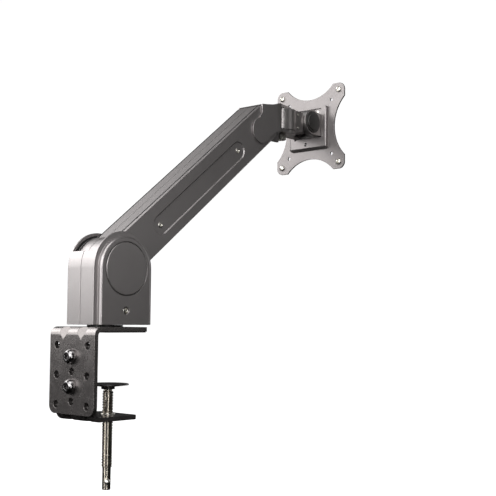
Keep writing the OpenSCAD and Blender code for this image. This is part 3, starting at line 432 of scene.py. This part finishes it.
def pointing(direction, place):
    """Turns a piece's Z axis to a direction and takes its origin to a place."""
    turn = Vector(direction).to_track_quat("Z", "Y").to_matrix().to_4x4()
    return Matrix.Translation(place) @ turn


def joined(name, pieces):
    """Joins pieces into one object of several solids."""
    bm = bmesh.new()
    for piece in pieces:
        bm.from_mesh(piece.data)
        bpy.data.objects.remove(piece)
    return object_from(bm, name)


def cut(piece, cutter):
    """Cuts one piece out of another and throws the cutter away."""
    difference = piece.modifiers.new("cut", "BOOLEAN")
    difference.operation, difference.solver, difference.object = "DIFFERENCE", "EXACT", cutter
    difference.use_self = True
    graph = bpy.context.evaluated_depsgraph_get()
    piece.data = bpy.data.meshes.new_from_object(piece.evaluated_get(graph))
    piece.modifiers.clear()
    bpy.data.objects.remove(cutter)
    if not piece.data.polygons:
        raise RuntimeError(f"{piece.name}: the cut left nothing")
    return piece


def smooth(piece, angle=40):
    """Smooth shading that keeps edges sharper than angle degrees crisp."""
    mesh = piece.data
    mesh.shade_smooth()
    bm = bmesh.new()
    bm.from_mesh(mesh)
    for edge in bm.edges:
        edge.smooth = (len(edge.link_faces) == 2
                       and edge.calc_face_angle(0) < math.radians(angle))
    bm.to_mesh(mesh)
    bm.free()
    return piece


def fused(node):
    """The mesh of a node, with solids of it that touch made into one.

    A cut merges them, so a bead is cut away that lies far below the floor.
    """
    piece = bpy.data.objects.new(node, frame["nodes"][node].data.copy())
    bpy.context.collection.objects.link(piece)
    bead = turned([(0, -MM), (MM, 0), (0, MM)], "cutter")
    mesh = cut(piece, moved(bead, Matrix.Translation(FAR_BELOW))).data
    bpy.data.objects.remove(piece)
    return mesh


def rounded_copy(node, edge, segments=2, mesh=None, wide=0.0, along=None):
    """A copy of a solid with its flat faces joined and its sharp edges rounded by edge metres.

    Edges that the test along picks are first rounded by wide metres.
    """
    bm = bmesh.new()
    bm.from_mesh(mesh or frame["nodes"][node].data)
    bmesh.ops.remove_doubles(bm, verts=bm.verts, dist=SAME_POINT)
    bmesh.ops.dissolve_limit(bm, angle_limit=FLAT_TURN, verts=bm.verts, edges=bm.edges,
                             use_dissolve_boundaries=False)
    if along:
        bmesh.ops.bevel(bm, geom=[e for e in bm.edges if along(e)], offset=wide, segments=6,
                        profile=0.5, affect="EDGES", offset_type="OFFSET",
                        clamp_overlap=False)
    made = object_from(bm, node + "_finished")
    bevel = made.modifiers.new("soft edges", "BEVEL")
    bevel.width = edge
    bevel.segments = segments
    bevel.limit_method = "ANGLE"
    bevel.angle_limit = SHARP_TURN
    bevel.use_clamp_overlap = True
    made.data.shade_smooth()
    made.modifiers.new("flat faces", "WEIGHTED_NORMAL").weight = 100
    return made


def settle(piece, node, slot=None):
    """Gives a piece its finish, and lets it ride in a solid's place."""
    slot = slot or SLOT_OF[node]
    piece.data.materials.clear()
    piece.data.materials.append(FINISHES[slot])
    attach(piece, BODY_OF[node])
    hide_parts(node)
    return piece


def soften(edge, *nodes, segments=2):
    """Puts a copy with rounded edges in the place of each node."""
    for node in nodes:
        settle(rounded_copy(node, edge, segments), node)


def solids_of(node):
    """The lowest and highest corners of each separate solid of a node, in order."""
    bm = bmesh.new()
    bm.from_mesh(frame["nodes"][node].data)
    bmesh.ops.remove_doubles(bm, verts=bm.verts, dist=SAME_POINT)
    waiting, boxes = set(bm.verts), []
    while waiting:
        reached, places = [waiting.pop()], []
        while reached:
            vert = reached.pop()
            places.append(vert.co.copy())
            for other in (edge.other_vert(vert) for edge in vert.link_edges):
                if other in waiting:
                    waiting.discard(other)
                    reached.append(other)
        boxes.append([Vector([pick(place[axis] for place in places) for axis in (X, Y, Z)])
                      for pick in (min, max)])
    bm.free()
    return sorted(boxes, key=lambda box: tuple(box[0]))


# ---- turned pieces and fasteners -------------------------------------------------

TURN = 2 * math.pi
THREAD_FORM = ((0.0, "root"), (0.15, "crest"), (0.6, "crest"), (0.75, "root"))  # in pitches

# A nut's proportions
NUT_FACE = 0.475                # radius of its flat face, of its width over flats
NUT_CHAMFER = math.radians(30)
COUNTERSINK, COUNTERSINK_DEPTH = 1.12, 0.1      # of the bore, and of the nut's height

# A pan head's proportions
CROSS_REACH, CROSS_HALF = 0.62, 0.17            # the recess, of the head's radius
HEAD_WALL = 0.4                 # the straight side under the dome, of the head's height
DOME_RINGS = [math.radians(a) for a in (12, 25, 38, 48)]
RECESS_TAPER = 0.7              # what the recess shrinks to on its way down
RECESS_EDGE, RECESS_FLOOR = 0.35, 0.25          # heights in the recess, of the head's
SHANK_BEVEL = 0.25              # of the shank's radius
SCREW_THREAD = 0.6              # depth of the thread, of its pitch

# The clamp screw's proportions
ROD_THREAD = 0.3                # depth of the thread, of its pitch
ROD_SHANK = 0.8                 # radius of the plain parts, of the thread's
ROD_TIP = 0.75                  # radius of the tip in the disc, of the plain parts'
BAR_HOLE = 0.735                # radius of the tommy bar's hole, of the bar's ball ends'


def even_angles(count):
    """The angles of even steps round a full turn."""
    return [TURN * i / count for i in range(count)]


def round_z(reach, angle, height):
    """The point that lies this far from the Z axis, at an angle and a height."""
    return reach * math.cos(angle), reach * math.sin(angle), height


def add_rings(bm, rings, angles, ring_closed=False):
    """Skins rings of (reach, height) round the Z axis.

    Either may be a function of the angle, and a reach of 0 is a single point.
    """
    def at(value, angle):
        return value(angle) if callable(value) else value

    def row(reach, height):
        if reach == 0:
            return [bm.verts.new((0, 0, height))]
        return [bm.verts.new(round_z(at(reach, a), a, at(height, a))) for a in angles]

    rows = [row(*ring) for ring in rings]
    for low, high in zip(rows, rows[1:] + rows[:1] if ring_closed else rows[1:]):
        for i in range(len(angles)):
            j = (i + 1) % len(angles)
            corners = (low[i % len(low)], low[j % len(low)], high[j % len(high)],
                       high[i % len(high)])
            bm.faces.new(dict.fromkeys(corners))


def turned(rings, name, steps=64):
    """A solid turned from (radius, height) points about the Z axis."""
    bm = bmesh.new()
    add_rings(bm, rings, even_angles(steps))
    return object_from(bm, name)


def add_thread(bm, root, crest, pitch, low, high, angles):
    """Skins a screw thread about the Z axis between rings of the root radius at low and high.

    It starts and ends two turns further out, and those turns are pressed flat onto the ends.
    """
    radius_of = {"root": root, "crest": crest}
    rows = []
    for turn in range(-2, math.ceil((high - low) / pitch) + 2):
        for share, name in THREAD_FORM:
            heights = [low + (turn + share + a / TURN) * pitch for a in angles]
            reaches = [radius_of[name] if low < z < high else root for z in heights]
            rows.append([bm.verts.new(round_z(r, a, min(max(z, low), high)))
                         for a, r, z in zip(angles, reaches, heights)])
    lead = len(THREAD_FORM)
    for k in range(len(rows) - 1 - lead):
        near, far = rows[k] + rows[k + lead][:1], rows[k + 1] + rows[k + 1 + lead][:1]
        for i in range(len(angles)):
            bm.faces.new((near[i], near[i + 1], far[i + 1], far[i]))


def tidy_skin(bm):
    """Joins points that meet and drops the faces that this leaves without an area."""
    bmesh.ops.remove_doubles(bm, verts=bm.verts, dist=1e-7)
    bmesh.ops.dissolve_degenerate(bm, edges=bm.edges, dist=1e-7)


def nut(flats, height, bore, name):
    """A hexagon nut with chamfered corners and a countersunk bore, standing on the origin.

    Two of its corners lie on the X axis.
    """
    rim, wide, sunk = flats * NUT_FACE, bore * COUNTERSINK, height * COUNTERSINK_DEPTH

    def corner(angle):
        """The reach of the hexagon."""
        return flats / 2 / math.cos(angle % (math.pi / 3) - math.pi / 6)

    def fall(angle):
        """How far the chamfer has fallen where it meets the hexagon."""
        return (corner(angle) - rim) * math.tan(NUT_CHAMFER)

    bm = bmesh.new()
    add_rings(bm, [(bore, sunk), (wide, 0.0), (rim, 0.0), (corner, fall),
                   (corner, lambda angle: height - fall(angle)), (rim, height),
                   (wide, height), (bore, height - sunk)], even_angles(48), ring_closed=True)
    return object_from(bm, name)


def cross_screw(name, head_r, head_h, shank_r, reach, neck_r=0.0, neck=0.0, pitch=0.0):
    """A pan head screw with a cross recess; its head stands on the origin, its shank hangs.

    With a pitch, its shank is a thread below a plain neck.
    """
    length, half = head_r * CROSS_REACH, head_r * CROSS_HALF
    corner = math.atan2(half, length)
    quarter = [0, corner / 2, corner, (corner + math.pi / 4) / 2]
    quarter += [math.pi / 4] + [math.pi / 2 - a for a in reversed(quarter[1:])]
    angles = [a + math.pi / 2 * side for side in range(4) for a in quarter]

    def cross(angle):
        """The reach of the recess's edge: two slots that cross."""
        big, small = sorted((abs(math.cos(angle)), abs(math.sin(angle))), reverse=True)
        return max(min(length / big, half / max(small, 1e-6)), half / big)

    def dome(radius):
        """The head's height at a radius."""
        bulge = math.sqrt(max(0.0, 1 - (radius / head_r) ** 2))
        return head_h * (HEAD_WALL + (1 - HEAD_WALL) * bulge)

    bm = bmesh.new()
    bevel = shank_r * SHANK_BEVEL
    rings = [(0, -reach), (shank_r - bevel, -reach), (shank_r, bevel - reach)]
    if pitch:
        root = shank_r - SCREW_THREAD * pitch
        add_rings(bm, rings + [(root, bevel - reach)], angles)
        add_thread(bm, root, shank_r, pitch, bevel - reach, -neck, angles)
        rings = [(root, -neck), (neck_r, -neck), (neck_r, 0.0)]
    else:
        rings.append((shank_r, 0.0))
    rings += [(head_r, 0.0), (head_r, HEAD_WALL * head_h)]
    rings += [(r, dome(r)) for r in (head_r * math.cos(a) for a in DOME_RINGS)]
    rings += [(cross, lambda angle: dome(cross(angle))),
              (lambda angle: cross(angle) * RECESS_TAPER, head_h * RECESS_EDGE),
              (0, head_h * RECESS_FLOOR)]
    add_rings(bm, rings, angles)
    tidy_skin(bm)
    return object_from(bm, name)


def set_nuts(node, axis, flats, height, bore):
    """Sets a chamfered nut in the place of each solid of a node, along the X or Z axis."""
    turn = {X: Matrix.Rotation(math.pi / 2, 4, "Y"), Z: Matrix.Identity(4)}[axis]
    nuts = []
    for low, high in solids_of(node):
        place = (low + high) / 2
        place[axis] -= height / 2
        nuts.append(moved(nut(flats, height, bore, node), turn, Matrix.Translation(place)))
    return smooth(settle(joined(node + "_finished", nuts), node))


def set_screws(node, axis, head_h, slot=None, shank_r=None, neck_end=None, **thread):
    """Sets a cross-head screw in the place of each solid of a node.

    Along X the heads look back over the arm, and along Y away from its middle plane. A neck
    goes on until neck_end along the axis.
    """
    screws = []
    for low, high in solids_of(node):
        side = 1 if axis == Y and low.y > 0 else -1
        size, place, way = high - low, (low + high) / 2, Vector()
        way[axis] = side
        place[axis] = (high if side > 0 else low)[axis] - side * head_h
        radius = size[1 - axis] / 2
        if neck_end is not None:
            thread["neck"] = abs(neck_end - place[axis])
        screw = cross_screw(node, radius, head_h, shank_r or radius / 2,
                            size[axis] - head_h, **thread)
        screws.append(moved(screw, pointing(way, place)))
    return smooth(settle(joined(node + "_finished", screws), node, slot))


def threaded_rod(low, high, pitch):
    """The clamp's screw: a plain foot, a long thread and a necked tip for the disc."""
    crest = high.x
    root, shank, bevel = crest - ROD_THREAD * pitch, crest * ROD_SHANK, 0.6 * MM
    tip, tip_length, tip_bevel = shank * ROD_TIP, 4.4 * MM, 0.5 * MM
    thread_low, thread_high = low.z + 24.5 * MM, high.z - 6 * MM
    angles = even_angles(40)
    bm = bmesh.new()
    add_rings(bm, [(0, low.z), (shank - bevel, low.z), (shank, low.z + bevel),
                   (shank, thread_low), (root, thread_low)], angles)
    add_thread(bm, root, crest, pitch, thread_low, thread_high, angles)
    add_rings(bm, [(root, thread_high), (shank, thread_high + bevel),
                   (shank, high.z - tip_length), (tip, high.z - tip_length),
                   (tip, high.z - tip_bevel), (tip - tip_bevel, high.z), (0, high.z)], angles)
    tidy_skin(bm)
    return object_from(bm, "screw_rod_finished")


def bar_hole(half_length):
    """What the tommy bar's hole takes out of the clamp screw: a plug along the bar."""
    low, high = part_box("tommy_bar")
    ball = (high.z - low.z) / 2
    along = Vector((high.x - ball, high.y - ball, 0)).normalized()
    bore = ball * BAR_HOLE
    plug = turned([(0, -half_length), (bore, -half_length), (bore, half_length),
                   (0, half_length)], "tommy_hole", steps=32)
    return moved(plug, pointing(along, (low + high) / 2))


# ---- properties ------------------------------------------------------------------

class DeskArmLooks(bpy.types.PropertyGroup):
    """Colours and sizes of the desk arm that a user may change."""

    arm_colour: bpy.props.FloatVectorProperty(
        name="Arm paint", description="Colour of the arm and the base housing",
        subtype="COLOR", size=3, min=0, max=1, default=(0.3, 0.282, 0.28))
    head_colour: bpy.props.FloatVectorProperty(
        name="Head paint", description="Colour of the yoke, knuckle and tilt block",
        subtype="COLOR", size=3, min=0, max=1, default=(0.29, 0.275, 0.27))
    plate_colour: bpy.props.FloatVectorProperty(
        name="Plate paint", description="Colour of the screen plate and its receiver",
        subtype="COLOR", size=3, min=0, max=1, default=(0.2, 0.186, 0.184))
    bracket_colour: bpy.props.FloatVectorProperty(
        name="Bracket coat", description="Colour of the clamp's powder coat",
        subtype="COLOR", size=3, min=0, max=1, default=(0.19, 0.176, 0.172))
    edge: bpy.props.FloatProperty(
        name="Edge rounding", description="Rounding of the brackets, the caps and the covers",
        subtype="DISTANCE", unit="LENGTH", min=0.0001, max=0.002, default=0.0007)
    thread_pitch: bpy.props.FloatProperty(
        name="Thread pitch", description="Travel of the clamp screw in one turn",
        subtype="DISTANCE", unit="LENGTH", min=0.001, max=0.005, default=0.003)


# ---- operators -------------------------------------------------------------------

class Step:
    """What every operator of this file shares."""

    bl_options = {"REGISTER", "UNDO"}

    @property
    def looks(self):
        return bpy.context.scene.desk_arm_looks


class DESKARM_OT_finishes(Step, bpy.types.Operator):
    """Make the finishes and give each solid its own"""

    bl_idname = "desk_arm.finishes"
    bl_label = "Finishes"

    def execute(self, context):
        FINISHES.update(make_finishes(self.looks))
        for node, solid in frame["nodes"].items():
            for slot in solid.material_slots:
                slot.material = FINISHES[SLOT_OF[node]]
        return {"FINISHED"}


class DESKARM_OT_clamp(Step, bpy.types.Operator):
    """Soften the bent brackets and set their bolts and nuts"""

    bl_idname = "desk_arm.clamp"
    bl_label = "Clamp"

    def execute(self, context):
        soften(self.looks.edge, "upper_bracket", "lower_jaw", segments=3)
        soften(CRISP_EDGE, "desk_pad", "swivel_disc", "jaw_nut", "jaw_bolts", "post_washer")
        set_nuts("jaw_bolt_nuts", X, flats=13 * MM, height=4 * MM, bore=3 * MM)
        set_nuts("post_nut", Z, flats=18 * MM, height=7 * MM, bore=6 * MM)
        return {"FINISHED"}


class DESKARM_OT_clamp_screw(Step, bpy.types.Operator):
    """Cut the threaded clamp screw and soften its disc and its tommy bar"""

    bl_idname = "desk_arm.clamp_screw"
    bl_label = "Clamp screw"

    def execute(self, context):
        low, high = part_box("screw_rod")
        rod = cut(threaded_rod(low, high, self.looks.thread_pitch), bar_hole(1.5 * high.x))
        smooth(settle(rod, "screw_rod"), angle=30)
        rod.data.materials[0] = FINISHES["oiled_thread"]
        soften(HAIR_EDGE, "tommy_bar")
        soften(BROKEN_EDGE, "pressure_disc")
        return {"FINISHED"}


class DESKARM_OT_base(Step, bpy.types.Operator):
    """Soften the swivelling housing with its caps and set its screws"""

    bl_idname = "desk_arm.base"
    bl_label = "Base"

    def execute(self, context):
        soften(HOUSING_EDGE, "housing_left", "housing_right")
        soften(self.looks.edge, "pivot_cap_left", "pivot_cap_right")
        soften(BROKEN_EDGE, "base_frame")
        set_screws("housing_screws", Y, head_h=1.9 * MM, slot="bright_steel")
        return {"FINISHED"}


class DESKARM_OT_arm(Step, bpy.types.Operator):
    """Soften the arm's shells and channel and set their screws"""

    bl_idname = "desk_arm.arm"
    bl_label = "Arm"

    def execute(self, context):
        soften(CRISP_EDGE, "arm_shell_left", "arm_shell_right", "arm_channel")
        set_screws("arm_screws", Y, head_h=1.15 * MM, slot="bright_steel")
        return {"FINISHED"}


class DESKARM_OT_mechanism(Step, bpy.types.Operator):
    """Soften the gas spring and the link inside the arm"""

    bl_idname = "desk_arm.mechanism"
    bl_label = "Mechanism"

    def execute(self, context):
        soften(CRISP_EDGE, "parallel_link", "gas_cylinder", "gas_gland", "rod_eye")
        return {"FINISHED"}


class DESKARM_OT_head(Step, bpy.types.Operator):
    """Soften the yoke, its covers and the knuckle, and set the head's nut"""

    bl_idname = "desk_arm.head"
    bl_label = "Head"

    def execute(self, context):
        soften(CAST_EDGE, "yoke", "knuckle")
        for cover in ("head_cover_left", "head_cover_right"):
            settle(rounded_copy(cover, self.looks.edge, 3, mesh=fused(cover)), cover)
        soften(HAIR_EDGE, "head_pin", "knuckle_screws")
        set_nuts("head_pin_nut", Z, flats=13 * MM, height=7 * MM, bore=4 * MM)
        return {"FINISHED"}


class DESKARM_OT_tilt(Step, bpy.types.Operator):
    """Soften the tilt block, its caps and its bolt"""

    bl_idname = "desk_arm.tilt"
    bl_label = "Tilt block"

    def execute(self, context):
        soften(CAST_EDGE, "tilt_block")
        soften(CRISP_EDGE, "tilt_cap_left", "tilt_cap_right", "tilt_bolt", "tilt_nut")
        return {"FINISHED"}


class DESKARM_OT_screen_plate(Step, bpy.types.Operator):
    """Soften the receiver and the screen plate and set their screws"""

    bl_idname = "desk_arm.screen_plate"
    bl_label = "Screen plate"

    def execute(self, context):
        soften(CAST_EDGE, "screen_plate")
        low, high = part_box("receiver")

        def at_rim(edge):
            """An edge of the face that looks back, at its sides or its foot."""
            ends = [vert.co for vert in edge.verts]
            if any(end.x > low.x + ON_SIDE for end in ends):
                return False
            return any(all(abs(end[axis] - side[axis]) < ON_SIDE for end in ends)
                       for axis, side in ((Y, low), (Y, high), (Z, low)))

        settle(rounded_copy("receiver", BROKEN_EDGE, wide=RECEIVER_RIM, along=at_rim),
               "receiver")
        soften(HAIR_EDGE, "receiver_rivets")
        set_screws("screen_screws", X, head_h=2.6 * MM, shank_r=2 * MM, neck_r=1.7 * MM,
                   neck_end=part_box("screen_plate")[1].x, pitch=0.7 * MM)
        set_screws("receiver_screw", X, head_h=1.8 * MM, shank_r=1.5 * MM, slot="black_bolt")
        return {"FINISHED"}


class DESKARM_OT_stage(Step, bpy.types.Operator):
    """Set the floor, the lights and the camera"""

    bl_idname = "desk_arm.stage"
    bl_label = "Stage"

    def execute(self, context):
        self.backdrop(cad_low.z - FLOOR_DROP)
        for light in LIGHTS:
            self.softbox(*light)
        self.surroundings(context.scene)
        context.scene.view_settings.view_transform = "Standard"
        self.camera(context.scene)
        return {"FINISHED"}

    @staticmethod
    def surroundings(scene):
        """A dim room, lighter above than below."""
        world = bpy.data.worlds.new("studio")
        world.use_nodes = True
        room = Nodes(world.node_tree)
        height = room.part("Z", room.coordinate("Generated"))
        background = world.node_tree.nodes["Background"]
        room.join(room.ramp(height * 0.5 + 0.5, *ROOM_SHADES), background.inputs["Color"])
        background.inputs["Strength"].default_value = ROOM_LIGHT
        scene.world = world

    @staticmethod
    def backdrop(level, reach=3.0, bend=1.5, rise=4.0):
        """A pale sheet that lies flat and sweeps up far all round.

        It neither lights the part nor shows in its gloss.
        """
        quarter = [math.pi / 2 * i / 16 for i in range(1, 17)]
        sheet = turned([(0.0, 0.0), (reach, 0.0),
                        *((reach + bend * math.sin(a), bend * (1 - math.cos(a)))
                          for a in quarter),
                        (reach + bend, rise)], "backdrop", steps=48)
        sheet.location.z = level
        sheet.data.shade_smooth()
        paper = Finish("backdrop_paper", Roughness=0.9, Emission_Color=(1, 1, 1, 1),
                       Emission_Strength=0.9)
        paper.feed("Base Color", paper.blend(paper.noise(0.4), (0.86, 0.86, 0.86, 1),
                                             (0.88, 0.88, 0.88, 1)))
        sheet.data.materials.append(paper.material)
        sheet.visible_diffuse = sheet.visible_glossy = False

    @staticmethod
    def softbox(name, place, size, power):
        """A rectangular light that looks at the lit point."""
        light = bpy.data.lights.new(name, "AREA")
        light.shape = "RECTANGLE"
        light.size, light.size_y = size
        light.energy = power
        lamp = bpy.data.objects.new(name, light)
        lamp.location = place
        lamp.rotation_euler = (LIT_POINT - Vector(place)).to_track_quat("-Z", "Y").to_euler()
        bpy.context.collection.objects.link(lamp)

    @staticmethod
    def camera(scene):
        """The camera that the scene is seen through."""
        data = bpy.data.cameras.new("view")
        data.lens, data.sensor_width = LENS, SENSOR_WIDTH
        data.clip_start, data.clip_end = 0.05, 50
        camera = bpy.data.objects.new("view", data)
        ahead = Vector((math.sin(VIEW_TURN) * math.cos(VIEW_RISE),
                        math.cos(VIEW_TURN) * math.cos(VIEW_RISE), math.sin(VIEW_RISE)))
        level = Vector((math.cos(VIEW_TURN), -math.sin(VIEW_TURN), 0))
        lift = level.cross(ahead)
        right = level * math.cos(VIEW_ROLL) + lift * math.sin(VIEW_ROLL)
        up = lift * math.cos(VIEW_ROLL) - level * math.sin(VIEW_ROLL)
        camera.matrix_world = Matrix.Translation(VIEW_PLACE) @ Matrix(
            (right, up, -ahead)).transposed().to_4x4()
        bpy.context.collection.objects.link(camera)
        scene.camera = camera


STEPS = (DESKARM_OT_finishes, DESKARM_OT_clamp, DESKARM_OT_clamp_screw, DESKARM_OT_base,
         DESKARM_OT_arm, DESKARM_OT_mechanism, DESKARM_OT_head, DESKARM_OT_tilt,
         DESKARM_OT_screen_plate, DESKARM_OT_stage)


# ---- panel -----------------------------------------------------------------------

class DESKARM_PT_panel(bpy.types.Panel):
    """Sizes, colours and steps of the desk arm"""

    bl_label = "Desk Arm"
    bl_space_type = "VIEW_3D"
    bl_region_type = "UI"
    bl_category = "Desk Arm"

    def draw(self, context):
        looks = context.scene.desk_arm_looks
        for name in DeskArmLooks.__annotations__:
            self.layout.prop(looks, name)
        for step in STEPS:
            self.layout.operator(step.bl_idname)


CLASSES = (DeskArmLooks, *STEPS, DESKARM_PT_panel)


def register():
    for thing in CLASSES:
        bpy.utils.register_class(thing)
    bpy.types.Scene.desk_arm_looks = bpy.props.PointerProperty(type=DeskArmLooks)


def unregister():
    del bpy.types.Scene.desk_arm_looks
    for thing in reversed(CLASSES):
        bpy.utils.unregister_class(thing)


def main():
    register()
    for step in STEPS:
        group, name = step.bl_idname.split(".")
        getattr(getattr(bpy.ops, group), name)()


if __name__ == "__main__":
    main()
